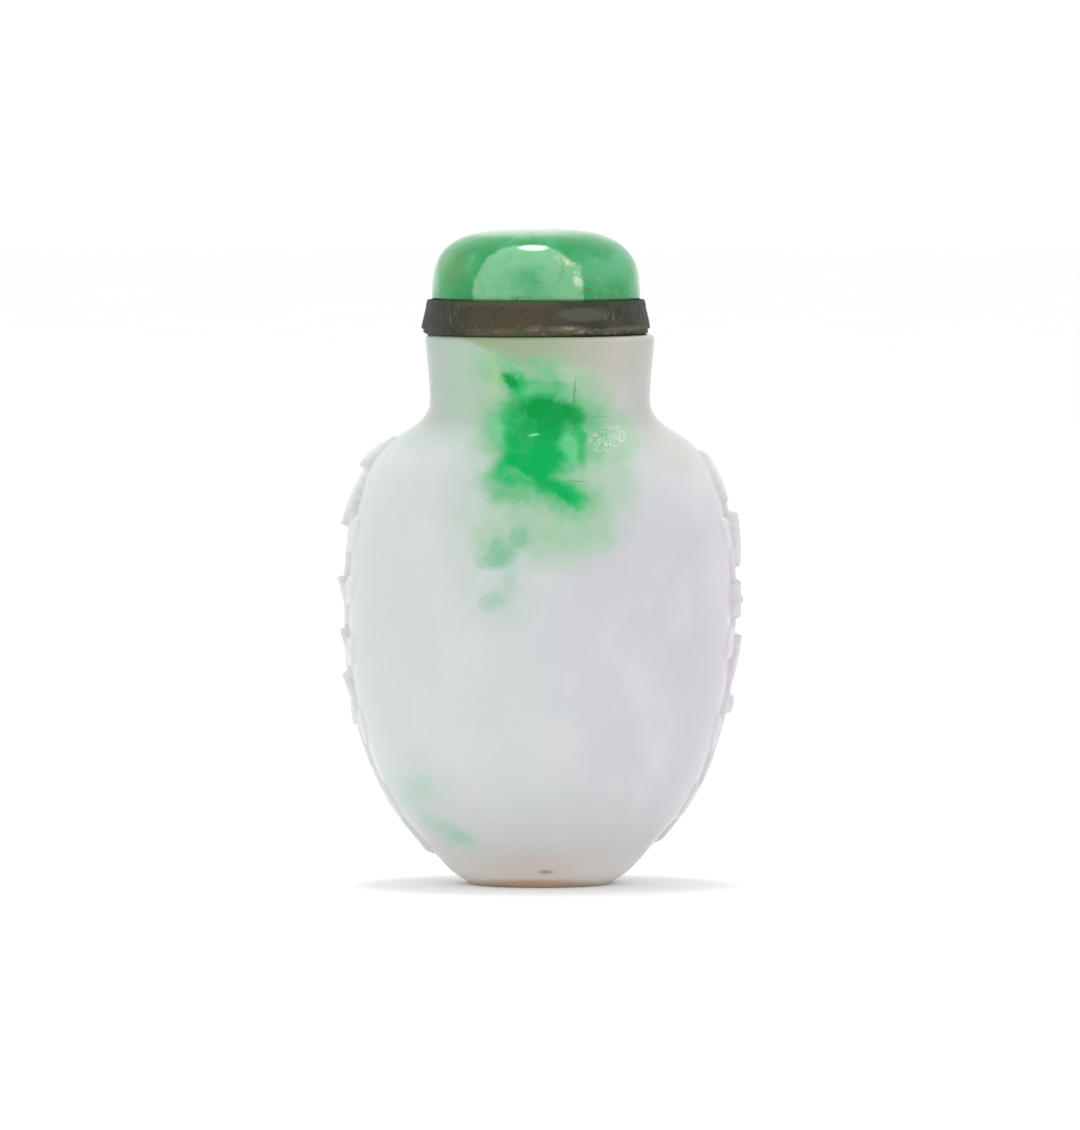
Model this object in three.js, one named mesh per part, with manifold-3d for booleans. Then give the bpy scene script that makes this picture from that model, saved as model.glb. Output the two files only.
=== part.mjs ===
// A jadeite snuff bottle with its stopper. The bottle is one piece of hollowed stone: a flattened oval
// body on a small oval foot, with a wide round neck, and a leafy flowering branch carved in relief up
// each narrow side. The stopper is a domed jadeite cap, hollowed from below, seated in a dark metal
// collar that rests on the lip and has a short plug in the mouth.
//
// Millimetres, +Z up. The origin is the middle of the foot, on the surface that the bottle stands on.
// The broad plain faces look along -Y (front) and +Y, and the carved narrow sides along -X and +X.

import * as THREE from "three";
import { mergeVertices } from "three/addons/utils/BufferGeometryUtils.js";
import Module from "manifold-3d";

const wasm = await Module();
wasm.setup();

// ---- Driving dimensions of the bottle ----

const HEIGHT = 55; // foot to lip
const REACH = 20.35; // middle of the bottle to the furthest carving, on either narrow side
const WIDEST = { z: 27.5, halfWidth: 19.15, halfDepth: 12.75 };
const NECK_RADIUS = 11.0; // at the waist of the neck
const NECK_WAIST = 49.0; // height of that waist
const SHOULDER = { low: 41.5, high: 48.5, step: 1.3 }; // where the broad faces step out from the neck
const MOUTH_RADIUS = 4.2;
const SIDE_WALL = 3.5; // thickness of the narrow sides
const FACE_WALL = 3.3; // thickness of the broad faces
const FLOOR_WALL = 4.2; // thickness over the foot
const LIP_ROUND = 0.5; // radius of the lip's outer and inner edges
const FOOT_RECESS = { share: 0.7, depth: 0.5 }; // hollow under the foot, as a share of the foot's width

// Half width of the bare body, without its carving: [height, half width], from foot to lip.
const OUTLINE = [
  [0, 7.0],
  [1.4, 9.0],
  [4.4, 11.7],
  [8.4, 14.85],
  [13.4, 17.05],
  [19.5, 18.6],
  [WIDEST.z, WIDEST.halfWidth],
  [34.5, 18.8],
  [39.5, 17.8],
  [42.6, 16.5],
  [44.4, 14.75],
  [46.2, 12.1],
  [47.4, 11.2],
  [NECK_WAIST, NECK_RADIUS],
  [HEIGHT - LIP_ROUND, 11.45],
];

// Half width of the chamber, from its floor to the foot of the mouth's bore.
const CHAMBER = [
  [FLOOR_WALL, 0],
  [FLOOR_WALL + 0.5, 6.4],
  [8.4, 11.2],
  [14.5, 14.3],
  [WIDEST.z - 1, WIDEST.halfWidth - SIDE_WALL],
  [36, 14.4],
  [40.6, 11.6],
  [43.2, 7.6],
  [45.2, MOUTH_RADIUS],
];

const AROUND = 40; // facets round the bottle
const ROWS_OUTSIDE = 19;
const ROWS_INSIDE = 2; // between two heights of the chamber's list

// ---- The bare body's surface ----

const outline = new THREE.CubicInterpolant(
  OUTLINE.map(([z]) => z),
  OUTLINE.map(([, halfWidth]) => halfWidth),
  1,
);
const halfWidthAt = (z) => outline.evaluate(z)[0];

/** Half depth of the outside where its half width is w: round at the neck, flattened at the body. */
function halfDepthOutside(w, z) {
  if (z < WIDEST.z) return WIDEST.halfDepth * (w / WIDEST.halfWidth) ** 0.8;
  if (z > NECK_WAIST) return w;
  const { low, high, step } = SHOULDER;
  const swell = WIDEST.halfDepth - NECK_RADIUS - step;
  const belowShoulder = 1 - THREE.MathUtils.smoothstep(z, low, high);
  const belowSwell = 1 - THREE.MathUtils.smoothstep(z, WIDEST.z, high);
  return NECK_RADIUS + step * belowShoulder + swell * belowSwell;
}

/** Half depth of the chamber where its half width is w: round at the bore, flattened below it. */
function halfDepthInside(w) {
  if (w <= MOUTH_RADIUS) return w;
  const widest = WIDEST.halfWidth - SIDE_WALL;
  const deepest = WIDEST.halfDepth - FACE_WALL;
  return MOUTH_RADIUS + ((w - MOUTH_RADIUS) * (deepest - MOUTH_RADIUS)) / (widest - MOUTH_RADIUS);
}

/** Exponent of the superellipse that a level cut is: 2 is an ellipse, and more is squarer. */
function squareness(w) {
  const share = (w - NECK_RADIUS) / (WIDEST.halfWidth - NECK_RADIUS);
  return 2 + 0.3 * THREE.MathUtils.clamp(share, 0, 1);
}

/** The point at distance h out of the +X side, at height z and u across it. */
function onSide(u, z, h) {
  const groundAt = (uu, zz) => {
    const w = halfWidthAt(zz);
    const n = squareness(w);
    return w * (1 - (Math.abs(uu) / halfDepthOutside(w, zz)) ** n) ** (1 / n);
  };
  const step = 0.05;
  const slopeU = (groundAt(u + step, z) - groundAt(u - step, z)) / (2 * step);
  const slopeZ = (groundAt(u, z + step) - groundAt(u, z - step)) / (2 * step);
  const normal = new THREE.Vector3(1, -slopeU, -slopeZ).normalize();
  return new THREE.Vector3(groundAt(u, z), u, z).addScaledVector(normal, h);
}

// ---- Solids and geometries ----

function solidOf(geometry) {
  const bare = new THREE.BufferGeometry().setAttribute("position", geometry.getAttribute("position"));
  if (geometry.index) bare.setIndex(geometry.index);
  const merged = mergeVertices(bare, 1e-3);
  return new wasm.Manifold(
    new wasm.Mesh({
      numProp: 3,
      vertProperties: merged.attributes.position.array,
      triVerts: new Uint32Array(merged.index.array),
    }),
  );
}

function geometryOf(solid) {
  const mesh = solid.getMesh();
  return new THREE.BufferGeometry()
    .setAttribute("position", new THREE.BufferAttribute(new Float32Array(mesh.vertProperties), 3))
    .setIndex(new THREE.BufferAttribute(new Uint32Array(mesh.triVerts), 1))
    .toNonIndexed();
}

/** A turned form: its profile runs from the axis to the axis, anticlockwise in the r-z half plane. */
function turned(profile, segments) {
  const lathe = new THREE.LatheGeometry(profile, segments);
  return lathe.rotateX(Math.PI / 2);
}

/** Moves every vertex of a geometry to place(vertex, index). */
function reshape(geometry, place) {
  const position = geometry.getAttribute("position");
  const vertex = new THREE.Vector3();
  for (let i = 0; i < position.count; i++) {
    vertex.fromBufferAttribute(position, i);
    const moved = place(vertex, i);
    position.setXYZ(i, moved.x, moved.y, moved.z);
  }
  return geometry;
}

/** A quarter round of the given radius about [r, z], from one angle to another in degrees. */
function quarter(r, z, radius, from, to, steps = 3) {
  return Array.from({ length: steps + 1 }, (_, i) => {
    const angle = THREE.MathUtils.degToRad(from + ((to - from) * i) / steps);
    return new THREE.Vector2(r + radius * Math.cos(angle), z + radius * Math.sin(angle));
  });
}

// ---- The bottle ----

/** Points of the body's outline from the foot to below the lip's round, closest where it bends most. */
function outsideRows() {
  const fine = 400;
  const curve = Array.from({ length: fine + 1 }, (_, i) => {
    const z = ((HEIGHT - LIP_ROUND) * i) / fine;
    return new THREE.Vector2(halfWidthAt(z), z);
  });
  const bendWorth = 8; // a turn of one radian counts as this length
  const run = [0];
  for (let i = 1; i < fine; i++) {
    const before = curve[i].clone().sub(curve[i - 1]);
    const after = curve[i + 1].clone().sub(curve[i]);
    run.push(run[i - 1] + before.length() + bendWorth * Math.abs(before.cross(after)) / before.lengthSq());
  }
  const rows = [curve[0]];
  for (let i = 1; i < fine; i++) {
    if (run[i] >= (run.at(-1) * rows.length) / ROWS_OUTSIDE) rows.push(curve[i]);
  }
  return rows;
}

/** Points down the chamber, from the bore's foot to its floor on the axis. */
function insideRows() {
  const curve = new THREE.SplineCurve(CHAMBER.map(([z, w]) => new THREE.Vector2(w, z)).reverse());
  return curve.getPoints(ROWS_INSIDE * (CHAMBER.length - 1)).map((p) => p.max(new THREE.Vector2(0, 0)));
}

function bareBottle() {
  const footEdge = OUTLINE[0][1];
  const recess = footEdge * FOOT_RECESS.share;
  const outside = [
    new THREE.Vector2(0, FOOT_RECESS.depth),
    new THREE.Vector2(recess - FOOT_RECESS.depth, FOOT_RECESS.depth),
    new THREE.Vector2(recess, 0),
    ...outsideRows(),
    ...quarter(OUTLINE.at(-1)[1] - LIP_ROUND, HEIGHT - LIP_ROUND, LIP_ROUND, 0, 90),
  ];
  const inside = [
    ...quarter(MOUTH_RADIUS + LIP_ROUND, HEIGHT - LIP_ROUND, LIP_ROUND, 90, 180),
    ...insideRows(),
  ];
  const profile = [...outside, ...inside];
  const flatten = ({ x, y, z }, i) => {
    const w = Math.hypot(x, y);
    if (w === 0) return new THREE.Vector3(0, 0, z);
    const isOutside = i % profile.length < outside.length;
    const halfDepth = isOutside ? halfDepthOutside(w, z) : halfDepthInside(w);
    const power = 2 / (isOutside ? squareness(w) : 2);
    const bend = (share) => Math.sign(share) * Math.abs(share) ** power;
    return new THREE.Vector3(w * bend(x / w), halfDepth * bend(y / w), z);
  };
  return solidOf(reshape(turned(profile, AROUND), flatten));
}

// ---- The carved branches ----

// A branch is given on the +X side, as [u, z]: u runs to the right as one faces that side. A leaf runs
// from its root to its tip, and its rise is how far it stands out of the body at each of the two. With a
// curl above 1 it lifts mostly towards its tip.
const RIGHT_BRANCH = {
  stem: { from: 4.2, to: 41.5, sway: 1.1, wave: 17, start: 3 },
  leaves: [
    { root: [-0.6, 43.0], tip: [0.4, 38.1], width: 3.6, rise: [0.5, 0.85] },
    { root: [0.9, 31.6], tip: [-0.2, 37.1], width: 3.6, rise: [1.1, 1.5] },
    { root: [0.2, 35.0], tip: [3.9, 39.2], width: 2.8, rise: [0.4, 0.55] },
    { root: [-0.2, 33.5], tip: [-3.9, 36.6], width: 2.8, rise: [0.4, 0.55] },
    { root: [0.8, 31.0], tip: [4.1, 33.4], width: 2.6, rise: [0.4, 0.5] },
    { root: [-0.2, 25.4], tip: [-4.0, 22.8], width: 2.7, rise: [0.4, 0.5] },
    { root: [0.7, 19.7], tip: [-0.4, 25.1], width: 3.1, rise: [0.5, 1.25], curl: 0.8 },
    { root: [0.4, 22.6], tip: [3.9, 25.4], width: 2.7, rise: [0.4, 0.5] },
    { root: [0.2, 15.0], tip: [3.7, 18.9], width: 2.7, rise: [0.35, 0.45] },
    { root: [0.0, 13.2], tip: [-3.5, 17.0], width: 2.7, rise: [0.35, 0.45] },
    { root: [0.5, 9.6], tip: [3.1, 13.2], width: 2.4, rise: [0.3, 0.4] },
    { root: [0.6, 6.8], tip: [-2.3, 10.2], width: 2.4, rise: [0.25, 0.35] },
  ],
  blossoms: [{ at: [-0.2, 28.5], radius: 2.1, rise: REACH - WIDEST.halfWidth }],
  buds: [
    { at: [0.3, 18.1], radius: 1.15, rise: 1.15 },
    { at: [-0.1, 12.2], radius: 0.9, rise: 0.6 },
  ],
};
const LEFT_BRANCH = {
  stem: { from: 3.2, to: 40.5, sway: -1.1, wave: 17, start: 5 },
  leaves: [
    { root: [0.5, 44.4], tip: [-0.1, 41.4], width: 3.2, rise: [0.25, 1.25] },
    { root: [0.3, 42.3], tip: [-0.4, 35.6], width: 3.8, rise: [0.4, 1.45] },
    { root: [0.2, 33.4], tip: [3.9, 37.0], width: 2.8, rise: [0.4, 0.55] },
    { root: [-0.4, 32.2], tip: [-4.0, 35.2], width: 2.8, rise: [0.4, 0.5] },
    { root: [0.5, 26.6], tip: [-0.1, 30.8], width: 2.8, rise: [0.4, REACH - halfWidthAt(30.8)], curl: 1.7 },
    { root: [0.9, 28.6], tip: [4.1, 30.8], width: 2.7, rise: [0.4, 0.5] },
    { root: [-2.8, 23.2], tip: [0.5, 25.6], width: 2.4, rise: [0.4, 1.1], curl: 1.7 },
    { root: [0.4, 22.4], tip: [3.9, 24.8], width: 2.7, rise: [0.4, 0.5] },
    { root: [0.6, 17.4], tip: [-0.2, 21.3], width: 2.6, rise: [0.4, 1.2], curl: 1.4 },
    { root: [0.2, 19.6], tip: [0.1, 16.0], width: 2.8, rise: [0.4, 0.95], curl: 0.8 },
    { root: [-0.4, 18.4], tip: [-3.8, 20.8], width: 2.6, rise: [0.4, 0.5] },
    { root: [0.4, 14.2], tip: [3.4, 17.7], width: 2.6, rise: [0.3, 0.4] },
    { root: [-0.2, 10.6], tip: [-3.1, 14.1], width: 2.5, rise: [0.25, 0.35] },
    { root: [-0.2, 6.8], tip: [2.4, 10.2], width: 2.4, rise: [0.25, 0.35] },
  ],
  blossoms: [{ at: [-2.6, 29.4], radius: 1.9, rise: 0.6 }],
  buds: [
    { at: [-0.2, 13.4], radius: 0.9, rise: 0.45 },
    { at: [0.1, 4.0], radius: 0.95, rise: 0.4 },
  ],
};
const SINK = 0.7; // how far the carved forms reach into the body

/** A pointed leaf with a sunk midrib, lying on the side and lifting towards its tip. */
function leafSolid({ root, tip, width, rise, curl = 1 }) {
  const from = new THREE.Vector2(...root);
  const along = new THREE.Vector2(...tip).sub(from);
  const across = new THREE.Vector2(along.y, -along.x).normalize();
  const shape = ({ x, y, z }) => {
    const share = (1 + y) / 2; // 0 at the root and 1 at the tip
    const ring = Math.hypot(x, z);
    const spread = (Math.sin(Math.PI * share ** 0.8) * width) / 2;
    const sideways = ring > 1e-6 ? (x / ring) * spread : 0;
    const up = ring > 1e-6 ? z / ring : 0;
    const lift = THREE.MathUtils.lerp(rise[0], rise[1], share ** curl);
    const midrib = ring > 1e-6 && Math.abs(x) < 1e-6 ? 0.8 : 1;
    const height = up < -0.1 ? SINK * up : lift * (0.45 + 0.55 * up * midrib);
    const atPole = share > 0.5 ? rise[1] : rise[0] * 0.3;
    const spot = from.clone().addScaledVector(along, share).addScaledVector(across, sideways);
    return onSide(spot.x, spot.y, ring > 1e-6 ? height : atPole);
  };
  return solidOf(reshape(new THREE.SphereGeometry(1, 8, 6), shape));
}

/** A low turned form on the side: its profile's radii and heights are shares of radius and rise. */
function bossSolid({ at, radius, rise }, profile, segments, lobe) {
  const points = profile.map(([r, h]) => new THREE.Vector2(r, h));
  const shape = ({ x, y, z }) => {
    const reach = radius * lobe(Math.atan2(y, x));
    return onSide(at[0] + x * reach, at[1] + y * reach, z < 0 ? z * SINK : z * rise);
  };
  // Turned about +X afterwards: across is u, up is z, and the form's own axis points out of the side.
  return solidOf(reshape(turned(points, segments), shape));
}

function blossomSolid(blossom) {
  const profile = [
    [0, -1],
    [1, -1],
    [1, 0.45],
    [0.78, 0.85],
    [0.42, 0.6],
    [0.26, 0.95],
    [0, 1],
  ];
  return bossSolid(blossom, profile, 20, (angle) => 0.8 + 0.2 * Math.abs(Math.cos(2.5 * angle)));
}

function budSolid(bud) {
  const profile = [
    [0, -1],
    [1, -1],
    [1, 0.35],
    [0.62, 0.85],
    [0, 1],
  ];
  return bossSolid(bud, profile, 10, () => 1);
}

/** The winding stem, a round rod half sunk in the side. */
function stemSolid({ from, to, sway, wave, start }) {
  const steps = 19;
  const points = Array.from({ length: steps + 1 }, (_, i) => {
    const z = from + ((to - from) * i) / steps;
    return onSide(sway * Math.sin((2 * Math.PI * (z - start)) / wave), z, -0.1);
  });
  const section = new THREE.Shape().absarc(0, 0, 0.62, 0, 2 * Math.PI);
  const rod = new THREE.ExtrudeGeometry(section, {
    curveSegments: 3,
    steps,
    extrudePath: new THREE.CatmullRomCurve3(points),
  });
  return solidOf(rod);
}

function branchSolids({ stem, leaves, blossoms, buds }) {
  return [
    stemSolid(stem),
    ...leaves.map(leafSolid),
    ...blossoms.map(blossomSolid),
    ...buds.map(budSolid),
  ];
}

function bottleSolid() {
  let bottle = bareBottle();
  for (const form of branchSolids(RIGHT_BRANCH)) bottle = bottle.add(form);
  for (const form of branchSolids(LEFT_BRANCH)) bottle = bottle.add(form.rotate([0, 0, 180]));
  // Forms that cross can close off a bubble smaller than a grain, so the stone itself is kept alone.
  return bottle.decompose().reduce((a, b) => (b.volume() > a.volume() ? b : a));
}

// ---- The stopper ----

const STOPPER_SHIFT = -0.4; // it sits a little to the left of the mouth's middle
const COLLAR = { seat: 3.2, top: 3.45, widest: 11.5, widestAt: 0.7, foot: 10.9, rim: 10.85, bezel: 0.25 };
const PLUG = { radius: 3.7, length: 5 };
const CAP = { radius: 10.4, height: 7.3, squareness: 3.2, hollow: 5.4, hollowShift: -0.8 };
const AROUND_STOPPER = 36;

/** The collar: a disc with sloping sides, a seat for the cap inside a thin rim, and a plug below. */
function collarSolid() {
  const profile = [
    [0, -PLUG.length],
    [PLUG.radius - 0.4, -PLUG.length],
    [PLUG.radius, 0.4 - PLUG.length],
    [PLUG.radius, 0],
    [COLLAR.foot, 0],
    [COLLAR.widest - 0.1, COLLAR.widestAt - 0.25],
    [COLLAR.widest, COLLAR.widestAt],
    [COLLAR.rim, COLLAR.top],
    [COLLAR.rim - COLLAR.bezel, COLLAR.top],
    [COLLAR.rim - COLLAR.bezel, COLLAR.seat],
    [0, COLLAR.seat],
  ];
  return solidOf(turned(profile.map(([r, z]) => new THREE.Vector2(r, z)), AROUND_STOPPER));
}

/** The cap: a flat-topped dome, hollowed from below so that light passes through its middle. */
function capSolid() {
  const rows = 8;
  const power = 2 / CAP.squareness;
  const dome = Array.from({ length: rows + 1 }, (_, i) => {
    const angle = (Math.PI / 2) * (i / rows);
    return new THREE.Vector2(
      i === rows ? 0 : CAP.radius * Math.cos(angle) ** power,
      CAP.height * Math.sin(angle) ** power,
    );
  });
  const cap = solidOf(turned([new THREE.Vector2(0, 0), ...dome], AROUND_STOPPER));
  const hollow = solidOf(new THREE.SphereGeometry(CAP.hollow, 18, 10).rotateX(Math.PI / 2));
  return cap.subtract(hollow.translate([CAP.hollowShift, 0, 0]));
}

// ---- The object ----

const lavenderJadeite = new THREE.MeshStandardMaterial({ color: 0xdcdce2, roughness: 0.22, metalness: 0 });
const greenJadeite = new THREE.MeshStandardMaterial({ color: 0x3fb573, roughness: 0.12, metalness: 0 });
const darkBronze = new THREE.MeshStandardMaterial({ color: 0x46413a, roughness: 0.5, metalness: 0.7 });

function named(name, solid, material) {
  const mesh = new THREE.Mesh(geometryOf(solid), material);
  mesh.name = name;
  return mesh;
}

const stopper = new THREE.Group();
const cap = named("stopper_cap", capSolid(), greenJadeite);
cap.position.z = COLLAR.seat;
stopper.add(named("stopper_collar", collarSolid(), darkBronze), cap);
stopper.position.set(STOPPER_SHIFT, 0, HEIGHT);

const snuffBottle = new THREE.Group();
snuffBottle.add(named("bottle", bottleSolid(), lavenderJadeite), stopper);

export default snuffBottle;
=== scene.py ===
"""A jadeite snuff bottle with its stopper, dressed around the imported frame.

The bottle is hollowed stone, lavender grey with an emerald splash, and a flowering branch is carved up each
narrow side. The stopper is a green jadeite cap in a worn bronze collar. Sizes in the classes are in
millimetres, and meshes are in metres.
"""

from __future__ import annotations

import logging
import math
from dataclasses import dataclass
from enum import Enum
from functools import reduce
from typing import Callable, Sequence

import bmesh
import bpy
import numpy as np
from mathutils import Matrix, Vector

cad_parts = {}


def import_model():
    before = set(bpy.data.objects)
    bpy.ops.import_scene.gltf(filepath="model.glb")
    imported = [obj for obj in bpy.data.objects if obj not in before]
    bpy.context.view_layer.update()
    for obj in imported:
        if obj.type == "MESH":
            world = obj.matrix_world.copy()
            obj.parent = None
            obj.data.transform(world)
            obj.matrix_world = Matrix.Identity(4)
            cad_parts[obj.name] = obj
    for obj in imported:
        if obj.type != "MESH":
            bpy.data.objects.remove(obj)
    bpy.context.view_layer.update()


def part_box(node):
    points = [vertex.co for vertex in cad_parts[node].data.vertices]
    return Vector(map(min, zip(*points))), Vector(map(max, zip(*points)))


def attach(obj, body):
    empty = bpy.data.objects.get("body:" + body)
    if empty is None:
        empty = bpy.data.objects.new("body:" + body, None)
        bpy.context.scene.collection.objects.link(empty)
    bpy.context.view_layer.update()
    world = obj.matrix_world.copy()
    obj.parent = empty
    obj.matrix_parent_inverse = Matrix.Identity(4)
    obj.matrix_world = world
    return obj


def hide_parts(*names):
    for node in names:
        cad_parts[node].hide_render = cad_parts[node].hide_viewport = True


MM = 0.001
Colour = tuple[float, float, float, float]
Triple = tuple[float, float, float]
Spot = tuple[float, float]
Array = np.ndarray
log = logging.getLogger("snuff_bottle")


def srgb(*display: int) -> Colour:
    """The linear colour that a shader takes, from a display's red, green and blue of 0 to 255."""
    shares = [value / 255 for value in display]
    return *(s / 12.92 if s <= 0.04045 else ((s + 0.055) / 1.055) ** 2.4 for s in shares), 1.0


def smooth(low: float, high: float, value: Array) -> Array:
    """0 to 1, smoothly, as value goes from low to high; low may be the larger."""
    share = np.clip((value - low) / (high - low), 0, 1)
    return share * share * (3 - 2 * share)


# ---- Shader maths ----


class Value:
    """A number or a vector between shader nodes, so that maths on it reads as maths."""

    def __init__(self, shader: Shader, socket: bpy.types.NodeSocket) -> None:
        """Wrap an output socket of a shader's node."""
        self.shader = shader
        self.socket = socket

    def math(self, operation: str, *operands: Value | float) -> Value:
        """Put the operands through one Math node."""
        return self.shader.node("ShaderNodeMath", {"operation": operation}, dict(enumerate(operands)))

    def __add__(self, other: Value | float) -> Value:
        """self + other."""
        return self.math("ADD", self, other)

    def __sub__(self, other: Value | float) -> Value:
        """self - other."""
        return self.math("SUBTRACT", self, other)

    def __rsub__(self, other: float) -> Value:
        """other - self."""
        return self.math("SUBTRACT", other, self)

    def __mul__(self, other: Value | float) -> Value:
        """self * other."""
        return self.math("MULTIPLY", self, other)

    __radd__, __rmul__ = __add__, __mul__

    def __truediv__(self, other: Value | float) -> Value:
        """self / other."""
        return self.math("DIVIDE", self, other)

    def __pow__(self, other: Value | float) -> Value:
        """self ** other."""
        return self.math("POWER", self, other)

    def __abs__(self) -> Value:
        """The size of self."""
        return self.math("ABSOLUTE", self)

    def above(self, other: Value | float) -> Value:
        """The larger of self and other."""
        return self.math("MAXIMUM", self, other)

    def below(self, other: Value | float) -> Value:
        """The smaller of self and other."""
        return self.math("MINIMUM", self, other)

    def rise(self, low: float, high: float) -> Value:
        """Map this number to 0 to 1, smoothly.

        Args:
            low: Where the result leaves 0; it may be the larger.
            high: Where the result reaches 1.

        Returns:
            The mapped number.
        """
        inputs = {"Value": self, "From Min": min(low, high), "From Max": max(low, high)}
        mapped = self.shader.node("ShaderNodeMapRange", {"interpolation_type": "SMOOTHSTEP"}, inputs)
        return mapped if low < high else 1 - mapped

    def parts(self) -> tuple[Value, Value, Value]:
        """The three numbers of this vector."""
        split = self.shader.raw("ShaderNodeSeparateXYZ", {}, {0: self})
        return tuple(Value(self.shader, split.outputs[i]) for i in range(3))


class Shader:
    """A material: patterns on the shaded point, in millimetres, and colours laid one over another."""

    def __init__(self, name: str, base: Colour) -> None:
        """Start a material.

        Args:
            name: Its name.
            base: The colour that the others are laid over.
        """
        self.material = bpy.data.materials.new(name)
        self.material.use_nodes = True
        self.tree = self.material.node_tree
        self.tree.nodes.clear()
        metres = self.node("ShaderNodeTexCoord", {}, {}, "Object")
        scaling = {0: metres, "Scale": 1 / MM}
        self.point = self.node("ShaderNodeVectorMath", {"operation": "SCALE"}, scaling)
        self.x, self.y, self.z = self.point.parts()
        self.colour: Value | Colour = base
        self.normal: dict[str, Value] = {}

    def raw(self, kind: str, settings: dict, inputs: dict) -> bpy.types.Node:
        """Add a node: its settings first, then its inputs.

        Args:
            kind: The node's type, such as ShaderNodeMath.
            settings: Properties by name.
            inputs: Numbers, colours or Values, by the socket's name or number.

        Returns:
            The node.
        """
        node = self.tree.nodes.new(kind)
        for name, setting in settings.items():
            setattr(node, name, setting)
        for key, value in inputs.items():
            if isinstance(value, Value):
                self.tree.links.new(value.socket, node.inputs[key])
            else:
                node.inputs[key].default_value = value
        return node

    def node(self, kind: str, settings: dict, inputs: dict, output: int | str = 0) -> Value:
        """Add a node and return one of its outputs as a Value; see raw for the arguments."""
        return Value(self, self.raw(kind, settings, inputs).outputs[output])

    def attribute(self, name: str) -> Value:
        """A number that the mesh holds for each of its vertices."""
        return self.node("ShaderNodeAttribute", {"attribute_name": name}, {}, "Fac")

    def placed(self, shift: Triple, stretch: Triple) -> Value:
        """The shaded point scaled along each axis and moved, so that one noise gives several patterns."""
        inputs = {0: self.point, 1: stretch, 2: shift}
        return self.node("ShaderNodeVectorMath", {"operation": "MULTIPLY_ADD"}, inputs)

    def noise(self, grain: float, detail: float = 3, roughness: float = 0.5,
              shift: Triple = (0, 0, 0), stretch: Triple = (1, 1, 1)) -> Value:
        """Cloudy noise from 0 to 1.

        Args:
            grain: Size of its largest clouds, in millimetres.
            detail: How many finer layers it has.
            roughness: How strong the finer layers are.
            shift: How far the point is moved, to give another pattern.
            stretch: How the point is scaled along each axis, to make the pattern run lengthwise.

        Returns:
            The noise.
        """
        inputs = {"Vector": self.placed(shift, stretch), "Scale": 1 / grain}
        inputs |= {"Detail": detail, "Roughness": roughness}
        return self.node("ShaderNodeTexNoise", {}, inputs, "Fac")

    def cells(self, grain: float, shift: Triple = (0, 0, 0), stretch: Triple = (1, 1, 1)) -> Value:
        """Distance to the nearest of scattered points, about grain millimetres apart; see noise."""
        inputs = {"Vector": self.placed(shift, stretch), "Scale": 1 / grain}
        return self.node("ShaderNodeTexVoronoi", {}, inputs, "Distance")

    def mix(self, base: Value | Colour, over: Value | Colour, share: Value | float) -> Value:
        """The base with a share, 0 to 1, of the other colour over it."""
        settings = {"data_type": "RGBA", "clamp_factor": True}
        return self.node("ShaderNodeMix", settings, {0: share, 6: base, 7: over}, 2)

    def lay(self, tint: Value | Colour, share: Value | float) -> None:
        """Lay a share, 0 to 1, of a colour over the material's colour so far."""
        self.colour = self.mix(self.colour, tint, share)

    def bump(self, height: Value, depth: float) -> None:
        """Bend the material's normal by a height of 0 to 1 that is depth millimetres tall."""
        inputs = {"Height": height, "Distance": depth * MM, "Strength": 1.0, **self.normal}
        self.normal = {"Normal": self.node("ShaderNodeBump", {}, inputs)}

    def surface(self, inputs: dict) -> bpy.types.Material:
        """Close the material with a Principled BSDF.

        Args:
            inputs: What its sockets hold besides the colour and the normal.

        Returns:
            The material.
        """
        inputs = {"Base Color": self.colour, **self.normal, **inputs}
        shading = self.node("ShaderNodeBsdfPrincipled", {"subsurface_method": "RANDOM_WALK"}, inputs)
        self.raw("ShaderNodeOutputMaterial", {}, {"Surface": shading})
        return self.material


# ---- Finishes ----


@dataclass(frozen=True)
class Patch:
    """An oval patch of colour on a broad face, in millimetres: x across and z up."""

    x: float
    z: float
    wide: float
    tall: float
    turn: float = 0.0
    edge: float = 0.35
    strength: float = 1.0

    def mask(self, x: Value, z: Value) -> Value:
        """How much of the patch covers a point.

        Args:
            x: Where the point is across.
            z: Where it is up.

        Returns:
            0 outside and strength inside, softened over the edge's share of its size.
        """
        cos, sin = math.cos(math.radians(self.turn)), math.sin(math.radians(self.turn))
        across, up = x - self.x, z - self.z
        along = (across * cos + up * sin) / (self.wide / 2)
        aside = (up * cos - across * sin) / (self.tall / 2)
        away = (along * along + aside * aside) ** 0.5
        return away.rise(1 + self.edge, 1 - self.edge) * self.strength


Patches = tuple[Patch, ...]


def covered(patches: Patches, x: Value, z: Value) -> Value:
    """The most that any of the patches covers a point at x across and z up, from 0 to 1."""
    return reduce(Value.above, [patch.mask(x, z) for patch in patches])


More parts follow.
